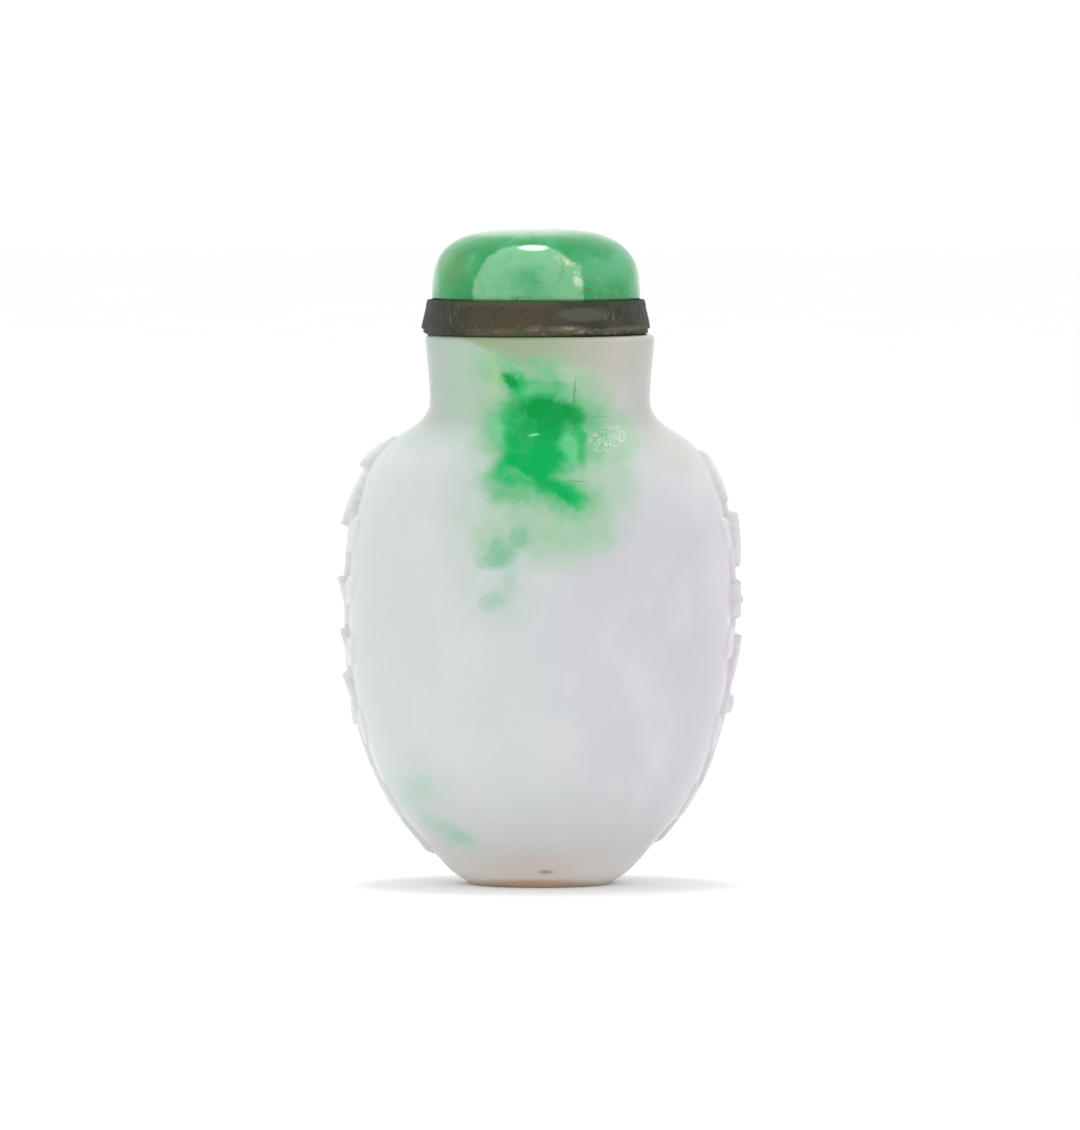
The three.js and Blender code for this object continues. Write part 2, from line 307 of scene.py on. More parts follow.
@dataclass(frozen=True)
class LavenderJadeite:
    """The bottle's stone: pale and cloudy, lavender to the right, with an emerald splash on the front."""

    cool: Colour = srgb(203, 207, 208)
    lavender: Colour = srgb(200, 196, 204)
    cloud: Colour = srgb(210, 211, 212)
    glow: Colour = srgb(226, 222, 218)
    buff: Colour = srgb(180, 176, 162)
    grey: Colour = srgb(168, 171, 168)
    mint: Colour = srgb(160, 188, 164)
    olive: Colour = srgb(148, 164, 124)
    halo: Colour = srgb(152, 194, 158)
    fringe: Colour = srgb(102, 184, 130)
    spot: Colour = srgb(110, 182, 146)
    green: Colour = srgb(40, 180, 106)
    emerald: Colour = srgb(0, 171, 86)
    deep: Colour = srgb(0, 152, 68)
    pocket: Colour = srgb(120, 206, 152)
    straw: Colour = srgb(184, 206, 150)
    teal: Colour = srgb(146, 198, 172)
    ochre: Colour = srgb(190, 158, 128)
    stain: Colour = srgb(120, 112, 112)
    painted_glint: Colour = srgb(150, 240, 196)
    sparkle: Colour = srgb(232, 244, 228)
    hair: Colour = srgb(60, 140, 92)
    polish: float = 0.16
    shine: float = 0.06
    index: float = 1.66
    subsurface: float = 0.55
    bleed: Triple = (0.5, 1.0, 0.8)
    depth: float = 0.6

    halo_patches: Patches = (
        Patch(0.6, 45.6, 14.4, 14.6, 0, 0.22),
        Patch(1.2, 38.4, 13.0, 11.0, 0, 0.5),
        Patch(6.9, 44.6, 5.4, 6.4, 0, 0.5, 0.85),
        Patch(7.0, 40.6, 5.0, 7.0, 0, 0.6, 0.65),
        Patch(6.3, 36.0, 2.6, 5.0, 0, 0.6, 0.75),
        Patch(-7.0, 38.0, 4.6, 16.0, 0, 0.8, 0.3),
        Patch(-4.2, 35.2, 6.0, 5.6, 0, 0.6, 0.75),
        Patch(-3.6, 29.2, 5.6, 5.0, 0, 0.8, 0.35),
        Patch(-4.2, 51.6, 5.4, 3.4, -20, 0.5, 0.85),
    )
    fringe_patches: Patches = (
        Patch(-0.1, 45.6, 10.2, 10.0, 0, 0.2),
        Patch(-1.6, 51.4, 6.6, 3.0, -6, 0.45, 0.8),
        Patch(-2.6, 40.4, 7.0, 3.4, -6, 0.35),
        Patch(4.9, 45.8, 3.2, 5.6, 6, 0.5, 0.8),
        Patch(2.4, 39.6, 6.6, 3.4, -32, 0.4),
        Patch(4.8, 38.9, 2.6, 2.6, 0, 0.7, 0.5),
    )
    spot_patches: Patches = (
        Patch(-2.2, 35.3, 2.3, 1.9, 20, 0.5, 0.8),
        Patch(-4.2, 33.5, 3.6, 2.6, 15, 0.5),
        Patch(-3.0, 31.2, 1.8, 3.0, 0, 0.7, 0.3),
        Patch(-4.7, 28.9, 3.0, 1.7, 12, 0.7, 0.55),
    )
    green_patches: Patches = (
        Patch(-0.2, 45.2, 7.2, 9.4, 0, 0.25),
        Patch(-2.3, 50.2, 3.2, 2.3, -30, 0.45),
        Patch(0.4, 50.3, 5.0, 0.8, -4, 0.7, 0.6),
        Patch(3.9, 45.2, 1.5, 6.4, 5, 0.5, 0.9),
        Patch(-1.8, 41.8, 5.2, 3.0, -6, 0.35),
        Patch(2.4, 39.8, 4.8, 2.1, -38, 0.4),
    )
    core_patches: Patches = (
        Patch(0.5, 44.4, 2.9, 9.0, -2, 0.35),
        Patch(1.0, 47.6, 7.0, 2.5, -9, 0.35),
        Patch(-1.3, 45.0, 3.4, 4.4, 0, 0.45, 0.75),
        Patch(-1.1, 42.7, 5.0, 2.0, -4, 0.35),
        Patch(1.9, 40.1, 4.0, 1.3, -42, 0.4),
        Patch(-2.9, 50.6, 2.4, 1.0, -48, 0.5, 0.95),
    )
    pocket_patches: Patches = (
        Patch(2.9, 44.2, 1.6, 3.2, 8, 0.5, 0.8),
        Patch(-4.2, 45.8, 1.0, 2.6, 4, 0.6, 0.9),
        Patch(-1.6, 41.4, 1.8, 0.6, -10, 0.8, 0.35),
        Patch(-0.6, 49.7, 2.2, 0.7, 8, 0.7, 0.4),
    )
    straw_patches: Patches = (Patch(-4.4, 51.2, 1.1, 3.4, 4, 0.9),)
    teal_patches: Patches = (
        Patch(-9.3, 6.0, 6.0, 1.9, -30, 0.6, 0.8),
        Patch(-7.9, 5.2, 3.0, 1.7, -24, 0.5),
        Patch(-12.2, 9.8, 3.4, 3.8, -30, 0.6, 0.6),
        Patch(-12.8, 9.8, 7.0, 7.4, -30, 0.6, 0.28),
    )
    foot_patches: Patches = (Patch(-0.6, 0.2, 11.6, 1.4, 0, 0.5), Patch(-1.0, 2.2, 11.0, 3.0, 0, 0.8, 0.3))
    hair_patches: Patches = (
        Patch(3.4, 49.5, 0.16, 2.7, -4, 0.5),
        Patch(3.6, 40.8, 2.2, 0.14, 0, 0.5, 0.6),
        Patch(5.8, 47.1, 2.0, 0.14, 0, 0.5, 0.5),
    )
    shoulder: Patch = Patch(12.5, 45.2, 8.0, 4.6, -35, 0.8, 0.4)
    smudge: Patch = Patch(0.5, 1.7, 1.4, 0.4, 0, 0.6)
    glint: Patch = Patch(-0.6, 45.4, 1.0, 0.28, 6, 0.6)
    frost: Patch = Patch(6.9, 45.0, 4.0, 2.3, 20, 0.3)

    def material(self) -> bpy.types.Material:
        """Make the stone.

        Returns:
            The material.
        """
        shader = Shader("lavender_jadeite", self.cool)
        x, y, z = shader.x, shader.y, shader.z
        drift = shader.noise(9, 2, shift=(31, 7, 3)) - 0.5
        front = (y + drift * 6).rise(1.5, -2.5)
        high = (z + drift * 14).rise(33, 42)
        shader.lay(self.lavender, (x + drift * 14).rise(-4, 17) * (1 - 0.75 * high))
        clouds = shader.noise(6.5, 4, 0.55, stretch=(1, 1, 0.7))
        shader.lay(self.cloud, clouds.rise(0.42, 0.7) * 0.6)
        shader.lay(self.buff, (z + drift * 12).rise(13, 3) * 0.22)
        # Painted light: the stone is laid lighter towards the foot, in place of light bounced up from the
        # white floor.
        shader.lay(self.glow, z.rise(4.5, 0.5) * 0.8)
        self.tint_neck(shader, drift)
        self.lay_splash(shader, front)
        self.lay_marks(shader, front)

        grain = shader.noise(0.9, 4, 0.6)
        flecks = shader.cells(0.8, stretch=(1, 1, 0.55)).rise(0.3, 0.05)
        shader.lay(self.cloud, flecks * grain.rise(0.5, 0.75) * 0.08)
        carved, crevice = shader.attribute("carved"), shader.attribute("crevice")
        # Partly paler stone on the carving and partly painted light that lifts the shade between its forms.
        shader.lay(self.glow, carved * 0.25)
        # Painted shade: buff laid in the crevices round the carving, stronger where the crevice is deeper.
        shader.lay(self.buff, crevice * 0.45)
        shader.bump(shader.noise(2.4, 2), 0.012)
        shader.bump(grain * carved, 0.02)
        shader.bump(shader.cells(0.5).rise(0.1, 0.4) * self.frost.mask(x, z) * front, 0.08)
        return shader.surface({
            "Roughness": self.polish + grain * 0.06 + carved * 0.1 + crevice * 0.15,
            "Specular IOR Level": self.shine, "IOR": self.index, "Subsurface Weight": self.subsurface,
            "Subsurface Radius": self.bleed, "Subsurface Scale": self.depth * MM,
        })

    def tint_neck(self, shader: Shader, drift: Value) -> None:
        """Colour the neck: mint on its left, buff and olive above a slanting edge on its right, and painted
        shade on its left and right flanks.

        Args:
            shader: The stone so far.
            drift: Slow noise about 0.
        """
        x, z = shader.x, shader.z
        wobble = (shader.noise(2.6, shift=(9, 2, 5)) - 0.5) * 1.6
        neck = (z + drift * 5).rise(42, 50)
        shader.lay(self.mint, (x + drift * 8).rise(2, -7) * neck * 0.8)
        shader.lay(self.buff, (x + wobble).rise(0, 6) * (z + drift * 8).rise(45, 53) * 0.75)
        edge = z + x.below(-2) * 0.45 + wobble * 0.6 - 51.2
        shader.lay(self.olive, edge.rise(-0.3, 0.5) * (x + wobble).rise(8, 0) * 0.8)
        shader.lay(self.buff, self.shoulder.mask(x, z))
        # Painted shade: grey on the left and right flanks of the round neck and upper shoulder, where they
        # turn away.
        shader.lay(self.grey, abs(x).rise(7.5, 11.5) * neck * 0.6)

    def lay_splash(self, shader: Shader, front: Value) -> None:
        """Lay the green splash over the stone, from its pale halo in to its emerald core.

        Args:
            shader: The stone so far.
            front: 1 on the front of the bottle and 0 on its back.
        """
        broad = shader.noise(2.0, 3, 0.55) - 0.5
        side = shader.noise(2.0, 3, 0.55, shift=(17, 5, 41)) - 0.5
        x, z = shader.x + broad * 2.2, shader.z + side * 2.2
        veil = shader.noise(1.7, 4, 0.6, shift=(3, 9, 27)).rise(0.34, 0.62)
        core = shader.mix(self.deep, self.emerald, z.rise(48, 43))
        for patches, tint, share in (
            (self.halo_patches, self.halo, 0.7 + veil * 0.2),
            (self.fringe_patches, self.fringe, 0.62 + veil * 0.3),
            (self.spot_patches, self.spot, 0.5 + veil * 0.2),
            (self.green_patches, self.green, 0.72 + veil * 0.28),
            (self.core_patches, core, 0.9 + veil * 0.1),
            (self.pocket_patches, self.pocket, 0.5 + veil * 0.3),
            (self.straw_patches, self.straw, 0.35),
        ):
            shader.lay(tint, covered(patches, x, z) * front * share)

    def lay_marks(self, shader: Shader, front: Value) -> None:
        """Lay the small marks over the stone: teal streak, ochre band at the foot, frosted speckle with a
        painted sparkle, a painted glint and hair lines.

        Args:
            shader: The stone so far.
            front: 1 on the front of the bottle and 0 on its back.
        """
        x, z = shader.x, shader.z
        wave = shader.noise(2.4, 4, 0.6, shift=(6, 1, 22)) - 0.5
        ripple = shader.noise(2.4, 4, 0.6, shift=(16, 31, 2)) - 0.5
        shader.lay(self.teal, covered(self.teal_patches, x + wave * 2, z + ripple * 2) * front * 0.62)
        # An ochre band along the foot, and a fainter ochre wash above it.
        shader.lay(self.ochre, covered(self.foot_patches, x + wave, z) * 0.8)
        shader.lay(self.stain, self.smudge.mask(x + wave, z) * front * 0.6)
        # Painted highlight: a small pale glint on the front, just below the neck.
        shader.lay(self.painted_glint, self.glint.mask(x + wave * 0.5, z + ripple * 0.5) * front * 0.6)
        # Partly a frosted speckle in the stone and partly a painted sparkle highlight: pale strokes over the
        # frost patch.
        strokes = abs(shader.noise(0.55, 2, shift=(12, 4, 14)) - 0.5).rise(0.045, 0.01)
        shader.lay(self.sparkle, strokes * self.frost.mask(x, z) * front * 0.5)
        shader.lay(self.hair, covered(self.hair_patches, x, z) * front * 0.6)


@dataclass(frozen=True)
class GreenJadeite:
    """The cap's stone: glassy mottled green, paler over the hollow under it, with rusty specks and a painted
    reflection along its top and edges.
    """

    middle: Spot
    radius: float = 5.5
    squareness: float = 2.4
    seam: float = 58.5
    green: Colour = srgb(28, 157, 92)
    deep: Colour = srgb(0, 142, 72)
    pale: Colour = srgb(84, 172, 122)
    milky: Colour = srgb(120, 188, 138)
    cream: Colour = srgb(206, 226, 190)
    rim: Colour = srgb(150, 196, 164)
    olive: Colour = srgb(96, 150, 84)
    rust: Colour = srgb(92, 104, 48)
    polish: float = 0.09
    shine: float = 0.35
    index: float = 1.66
    subsurface: float = 0.4
    bleed: Triple = (0.5, 1.0, 0.8)
    depth: float = 0.6

    olive_patch: Patch = Patch(-8.6, 61.8, 3.4, 4.4, 15, 0.6, 0.4)
    pale_patch: Patch = Patch(5.6, 61.7, 5.6, 2.6, 0, 0.7, 0.75)
    flaw: Patch = Patch(2.9, 61.4, 3.6, 3.0, -45, 0.5)
    deep_patches: Patches = (
        Patch(-5.4, 64.3, 5.4, 1.9, 20, 0.5),
        Patch(-8.2, 59.9, 2.6, 2.4, 0, 0.6, 0.7),
        Patch(4.2, 64.1, 6.0, 2.2, -16, 0.5),
    )
    speck_patches: Patches = (
        Patch(-8.0, 63.0, 2.0, 1.6, 0, 0.7, 0.7),
        Patch(2.4, 62.0, 1.6, 1.4, 0, 0.8, 0.6),
        Patch(4.7, 59.8, 2.2, 2.2, 20, 0.6),
        Patch(6.2, 58.9, 3.0, 1.0, 0, 0.7, 0.8),
        Patch(-2.4, 58.8, 2.4, 0.8, 0, 0.7),
    )

    def material(self) -> bpy.types.Material:
        """Make the stone.

        Returns:
            The material.
        """
        shader = Shader("green_jadeite", self.green)
        x, z = shader.x, shader.z
        broad = shader.noise(3.6)
        fine = shader.noise(1.3, 4, 0.6, shift=(4, 21, 8))
        drift = shader.noise(3.0, shift=(11, 3, 9))
        wavy = x + (drift - 0.5) * 3, z + (broad - 0.5) * 3
        shader.lay(self.deep, broad.rise(0.4, 0.6))
        shader.lay(self.pale, drift.rise(0.5, 0.7) * 0.7)
        shader.lay(self.deep, fine.rise(0.48, 0.62) * 0.45)
        shader.lay(self.olive, self.olive_patch.mask(*wavy))
        shader.lay(self.pale, self.pale_patch.mask(*wavy))
        shader.lay(self.deep, covered(self.deep_patches, *wavy) * 0.9)
        self.lay_hollow(shader, broad, fine, drift)

        spots = shader.cells(0.9, shift=(2, 2, 2)).rise(0.4, 0.15)
        threads = abs(shader.noise(1.4, 4, 0.6, shift=(7, 3, 1)) - 0.5).rise(0.05, 0.01)
        places = 0.06 + 0.94 * covered(self.speck_patches, x + (fine - 0.5) * 2, z)
        shader.lay(self.rust, (spots * 0.5).above(threads) * places * fine.rise(0.3, 0.55) * 0.8)
        shader.lay(self.rust, z.rise(self.seam + 0.35, self.seam) * 0.5)
        # Painted reflection: a pale band along the cap's top, stronger on its left, and along its left and
        # right edges.
        left = (x + (drift - 0.5) * 12).rise(4.5, -2)
        top = (z + (fine - 0.5) * 0.5).rise(64.6, 65.3) * (0.3 + 0.7 * left)
        sides = abs(x - self.middle[0] - 0.9).rise(9.5, 10.4) * z.rise(58.4, 60.4)
        shader.lay(self.rim, top.above(sides) * 0.75)
        shader.bump(shader.noise(1.8, 2), 0.01)
        return shader.surface({
            "Roughness": self.polish + fine * 0.05, "Specular IOR Level": self.shine, "IOR": self.index,
            "Subsurface Weight": self.subsurface, "Subsurface Radius": self.bleed,
            "Subsurface Scale": self.depth * MM,
        })

    def lay_hollow(self, shader: Shader, broad: Value, fine: Value, drift: Value) -> None:
        """Lay the milky half oval where the hollow shows through, with cream crumbs along its edge.

        Args:
            shader: The stone so far.
            broad: Broad noise from 0 to 1.
            fine: Fine noise.
            drift: Another broad noise.
        """
        x, z, power = shader.x, shader.z, self.squareness
        across, up = x - self.middle[0], z - self.middle[1]
        ripple = (fine - 0.5) * 0.5 + (drift - 0.5) * across.rise(0, 4) * 1.8
        beyond = (abs(across) ** power + abs(up) ** power) ** (1 / power) + ripple - self.radius
        facing = abs(shader.y).rise(4.5, 7.5)
        bloom = Patch(self.middle[0] + 0.3, 59.7, 5.4, 3.4, 0, 0.8)
        glassy = bloom.mask(x + (drift - 0.5) * 7, z + (broad - 0.5) * 6) * 0.6 + fine.rise(0.45, 0.7) * 0.25
        shader.lay(shader.mix(self.milky, self.green, glassy), beyond.rise(0.16, -0.16) * facing * 0.92)
        crumbs = fine.rise(0.44, 0.56).above(shader.cells(0.6).rise(0.35, 0.2) * 0.7)
        flawed = abs(beyond + 0.35).rise(0.75, 0.15) * self.flaw.mask(x, z) * facing
        shader.lay(self.cream, flawed * crumbs * 0.8)


@dataclass(frozen=True)
class WornBronze:
    """The collar's metal: almost black bronze, rubbed brown and scratched along its lower edge, with a
    painted highlight on its lapped plate.
    """

    dark: Colour = srgb(51, 52, 43)
    green: Colour = srgb(66, 68, 48)
    brown: Colour = srgb(82, 72, 54)
    umber: Colour = srgb(82, 82, 54)
    plate: Colour = srgb(84, 86, 76)
    rubbed: Colour = srgb(146, 136, 118)
    shine: float = 0.4

    brown_patch: Patch = Patch(-1.6, 56.2, 8.6, 5.0, 0, 0.5)
    plate_highlight_patch: Patch = Patch(4.2, 57.2, 5.2, 1.3, 0, 0.3)
    chip_patches: Patches = (
        Patch(2.9, 55.7, 4.4, 0.7, -3, 0.5, 0.8),
        Patch(-0.7, 55.8, 1.7, 0.6, 10, 0.5, 0.6),
        Patch(-3.6, 55.6, 2.2, 0.5, 0, 0.6, 0.35),
        Patch(7.6, 55.6, 4.4, 0.6, 3, 0.6, 0.7),
    )
    hatch_patches: Patches = (
        Patch(-8.6, 57.2, 2.6, 2.4, 0, 0.6),
        Patch(7.2, 57.3, 2.6, 2.2, 0, 0.6),
        Patch(9.8, 56.6, 1.6, 2.6, 0, 0.5),
    )

    def material(self) -> bpy.types.Material:
        """Make the metal.

        Returns:
            The material.
        """
        shader = Shader("worn_bronze", self.dark)
        x, z = shader.x, shader.z
        patina = shader.noise(2.6, 4, 0.6)
        fine = shader.noise(0.5, 4, 0.65, shift=(8, 8, 8))
        wave = (patina - 0.5) * 2.4
        wavy = x + wave
        shader.lay(self.green, patina.rise(0.46, 0.64) * 0.6)
        shader.lay(self.brown, self.brown_patch.mask(x + wave * 1.4, z) * fine.rise(0.2, 0.6) * 0.8)
        edges = z.rise(56.0, 55.5).above(z.rise(57.7, 58.2) * 0.7)
        shader.lay(self.umber, edges * wavy.rise(3.5, 0.5) * wavy.rise(-9, -6) * 0.7)
        # Painted highlight: a lighter grey oval on the lapped plate, right of the middle.
        shader.lay(self.plate, self.plate_highlight_patch.mask(wavy, z) * 0.8)
        scales = shader.cells(0.62, stretch=(0.5, 0.5, 1.0)).rise(0.45, 0.2)
        chips = covered(self.chip_patches, x + wave * 0.5, z + (fine - 0.5) * 0.6) * (0.4 + scales * 0.6)
        hatch = shader.noise(0.5, 3, 0.6, stretch=(1.6, 1.6, 0.35)).rise(0.55, 0.66)
        hatched = covered(self.hatch_patches, x, z) * hatch * 0.3
        rub = chips.above(shader.attribute("worn") * fine.rise(0.52, 0.68) * 0.4).above(hatched)
        shader.lay(self.rubbed, rub)
        shader.bump(patina, 0.05)
        shader.bump(fine, 0.03)
        shader.bump(rub, 0.03)
        return shader.surface({
            "Metallic": 0.4 + rub * 0.2, "Roughness": 0.6 - rub * 0.15 + fine * 0.12,
            "Specular IOR Level": self.shine,
        })


@dataclass(frozen=True)
class StudioWhite:
    """The floor's plain white."""

    white: Colour = srgb(250, 250, 250)
    shade: Colour = srgb(247, 247, 247)

    def material(self) -> bpy.types.Material:
        """Make the floor's finish.

        Returns:
            The material.
        """
        shader = Shader("studio_white", self.white)
        shader.lay(self.shade, shader.noise(40, 2))
        return shader.surface({"Roughness": 0.9, "Specular IOR Level": 0.0})


# ---- Carving ----


@dataclass(frozen=True)
class Leaf:
    """A pointed leaf on a narrow side, lying from root to tip and rising from rise[0] to rise[1].

    With a curl above 1 it lifts mostly towards its tip.
    """

    root: Spot
    tip: Spot
    width: float
    rise: Spot
    curl: float = 1.0
    midrib: Spot = (0.16, 0.32)
    vein_gap: float = 0.95
    vein_depth: float = 0.1

    def height(self, u: Array, z: Array) -> Array:
        """Carve the leaf.

        Args:
            u: Where each point is across the side.
            z: Where it is up.

        Returns:
            How far the leaf stands out of the side there.
        """
        run = np.array(self.tip) - np.array(self.root)
        length = float(np.hypot(*run))
        run /= length
        along = (u - self.root[0]) * run[0] + (z - self.root[1]) * run[1]
        aside = (u - self.root[0]) * run[1] - (z - self.root[1]) * run[0]
        share = np.clip(along / length, 0, 1)
        aside = np.abs(aside - 0.06 * self.width * np.sin(math.pi * share))
        half = self.width / 2 * np.maximum(np.sin(math.pi * share**0.8), 0.0) ** 0.85 + 0.08
        half *= 1 + 0.05 * np.sin(along * 6.0)
        t = np.clip(aside / half, 0, 1)
        lift = self.rise[0] + (self.rise[1] - self.rise[0]) * share**self.curl
        crown = np.maximum(0.45 + 0.55 * np.sqrt(1 - t**2), smooth(0.86, 1.0, share))
        midrib = self.midrib[1] * np.exp(-((aside / self.midrib[0]) ** 2))
        midrib *= smooth(0.0, 0.15, share) * smooth(0.97, 0.8, share)
        veins = self.vein_depth * smooth(0.4, 1.0, np.cos((along - aside) * 2 * math.pi / self.vein_gap))
        veins *= smooth(1.0, 0.75, t) * smooth(0.0, 0.25, aside)
        edge = smooth(0.09, -0.09, aside - half) * smooth(-0.14, 0.1, along)
        edge *= smooth(0.1, -0.12, along - length)
        return (lift * crown - (midrib + veins) * np.clip(lift, 0, 1)) * edge


@dataclass(frozen=True)
class Blossom:
    """A five-petalled blossom on a narrow side, with a boss ringed by stamens."""

    at: Spot
    radius: float
    rise: float

    def height(self, u: Array, z: Array) -> Array:
        """Carve the blossom.

        Args:
            u: Where each point is across the side.
            z: Where it is up.

        Returns:
            How far the blossom stands out of the side there.
        """
        angle = np.arctan2(z - self.at[1], u - self.at[0])
        lobe = np.abs(np.cos(2.5 * angle))
        reach = self.radius * (0.8 + 0.2 * lobe**0.6)
        away = np.hypot(u - self.at[0], z - self.at[1])
        r = away / reach
        crown = np.interp(r, [0, 0.2, 0.27, 0.42, 0.78, 1.0], [1, 0.97, 0.72, 0.62, 0.87, 0.5])
        parting = 0.16 * np.exp(-((lobe * away / 0.22) ** 2)) * smooth(0.3, 0.5, r)
        stamens = 0.1 * smooth(0.2, 0.9, np.cos(10 * angle)) * np.exp(-(((r - 0.36) / 0.07) ** 2))
        return (self.rise * crown - parting + stamens) * smooth(0.09, -0.09, away - reach)


@dataclass(frozen=True)
class Bud:
    """A round bud on a narrow side, with folded petals."""

    at: Spot
    radius: float
    rise: float

    def height(self, u: Array, z: Array) -> Array:
        """Carve the bud.

        Args:
            u: Where each point is across the side.
            z: Where it is up.

        Returns:
            How far the bud stands out of the side there.
        """
        across, up = u - self.at[0], z - self.at[1]
        away = np.hypot(across, up)
        crown = np.interp(away / self.radius, [0, 0.62, 1], [1, 0.85, 0.4])
        fold = 0.12 * np.exp(-(((np.abs(across) - 0.3 * self.radius * smooth(-1, 1, up)) / 0.12) ** 2))
        return (self.rise * crown - fold * smooth(-0.8, 0.2, up)) * smooth(0.08, -0.08, away - self.radius)


@dataclass(frozen=True)
class Stem:
    """The winding stem, a rod half sunk in the side, from one height to another."""

    low: float
    high: float
    sway: float
    wave: float
    start: float
    radius: float = 0.62
    sunk: float = 0.1
    ring_gap: float = 2.3
    ring_depth: float = 0.05

    def middle(self, z: Array | float) -> Array | float:
        """Where the stem's middle is across, at a height."""
        return self.sway * np.sin(2 * math.pi * (z - self.start) / self.wave)

    def height(self, u: Array, z: Array) -> Array:
        """Carve the stem.

        Args:
            u: Where each point is across the side.
            z: Where it is up.

        Returns:
            How far the stem stands out of the side there.
        """
        turn = 2 * math.pi / self.wave
        slope = self.sway * turn * np.cos(turn * (z - self.start))
        aside = (u - self.middle(z)) / np.hypot(1, slope)
        rod = np.sqrt(np.maximum(self.radius**2 - aside**2, 0)) - self.sunk
        rings = self.ring_depth * smooth(0.8, 1.0, np.cos(2 * math.pi * z / self.ring_gap + 0.7 * aside))
        ends = smooth(self.low - 0.3, self.low + 0.5, z) * smooth(self.high + 0.3, self.high - 0.5, z)
        return np.maximum(rod - rings, 0) * ends


@dataclass(frozen=True)
class Twig:
    """A thin twig that joins a leaf's root to the stem."""

    root: Spot
    end: Spot
    radius: float = 0.34

    def height(self, u: Array, z: Array) -> Array:
        """Carve the twig.

        Args:
            u: Where each point is across the side.
            z: Where it is up.

        Returns:
            How far the twig stands out of the side there.
        """
        run = np.array(self.end) - np.array(self.root)
        across, up = u - self.root[0], z - self.root[1]
        share = np.clip((across * run[0] + up * run[1]) / float(run @ run), 0, 1)
        away = np.hypot(across - share * run[0], up - share * run[1])
        return np.sqrt(np.maximum(self.radius**2 - away**2, 0)) * 0.95


@dataclass(frozen=True)
class Branch:
    """One narrow side's carving: a stem with its leaves, blossoms and buds."""

    stem: Stem
    leaves: tuple[Leaf, ...]
    flowers: tuple[Blossom | Bud, ...]

    def twigs(self) -> list[Twig]:
        """Grow the twigs between the stem and the roots of the leaves that start beside it.

        Returns:
            A twig for each leaf.
        """
        twigs = []
        for leaf in self.leaves:
            low = leaf.root[1] - 1.6 * math.copysign(1, leaf.tip[1] - leaf.root[1])
            low = min(max(low, self.stem.low), self.stem.high)
            twigs.append(Twig((float(self.stem.middle(low)), low), leaf.root))
        return twigs

    def height(self, u: Array, z: Array) -> Array:
        """How far the carving stands out of the side at each point, u across and z up."""
        forms = (self.stem, *self.twigs(), *self.leaves, *self.flowers)
        return reduce(np.maximum, [form.height(u, z) for form in forms], 0.0)


def softened(grid: Array, reach: int) -> Array:
    """Blur a grid along both its axes.

    Args:
        grid: The numbers.
        reach: How many places away a number still counts.

    Returns:
        The blurred grid, of the same shape.
    """
    weights = np.hanning(2 * reach + 3)[1:-1]
    weights /= weights.sum()
    for axis in (0, 1):
        grid = np.apply_along_axis(np.convolve, axis, grid, weights, mode="same")
    return grid


class Relief:
    """A branch's carving on a fine grid, with its edges rounded as polishing leaves them."""

    step = 0.06
    low = np.array((-7.5, 1.5))
    high = np.array((7.5, 46.5))
    polish = 2
    shade = 9

    def __init__(self, branch: Branch) -> None:
        """Carve on the grid.

        Args:
            branch: The branch that is carved.
        """
        across, up = (np.arange(low, high, self.step) for low, high in zip(self.low, self.high))
        crisp = branch.height(*np.meshgrid(across, up, indexing="ij"))
        self.carving = softened(crisp, self.polish)
        self.around = softened(crisp, self.shade)

    def at(self, u: Array, z: Array) -> tuple[Array, Array, Array]:
        """Read the carving, which dies away towards the broad faces.

        Args:
            u: Where each point is across.
            z: Where it is up.

        Returns:
            The carving's height, how much each point is carved, and how deep it is in a crevice.
        """
        place = (np.stack([u, z]) - self.low[:, None]) / self.step
        i, j = np.floor(place).astype(int)
        s, t = place - (i, j)

        def read(grid: Array) -> Array:
            """A grid between its four nearest places."""
            low = grid[i, j] * (1 - s) + grid[i + 1, j] * s
            high = grid[i, j + 1] * (1 - s) + grid[i + 1, j + 1] * s
            return low * (1 - t) + high * t

        outer = smooth(1.4, 4.4, np.abs(u))
        carving, around = read(self.carving), read(self.around)
        height = (carving + (around - carving) * 0.4 * outer) * (1 - 0.35 * outer)
        crevice = smooth(0.05, 0.4, around - carving) * (1 - 0.6 * outer)
        return height, smooth(0.02, 0.2, around), crevice


class Side(Enum):
    """A narrow side, by the direction it looks along X."""

    LEFT = -1
    RIGHT = 1


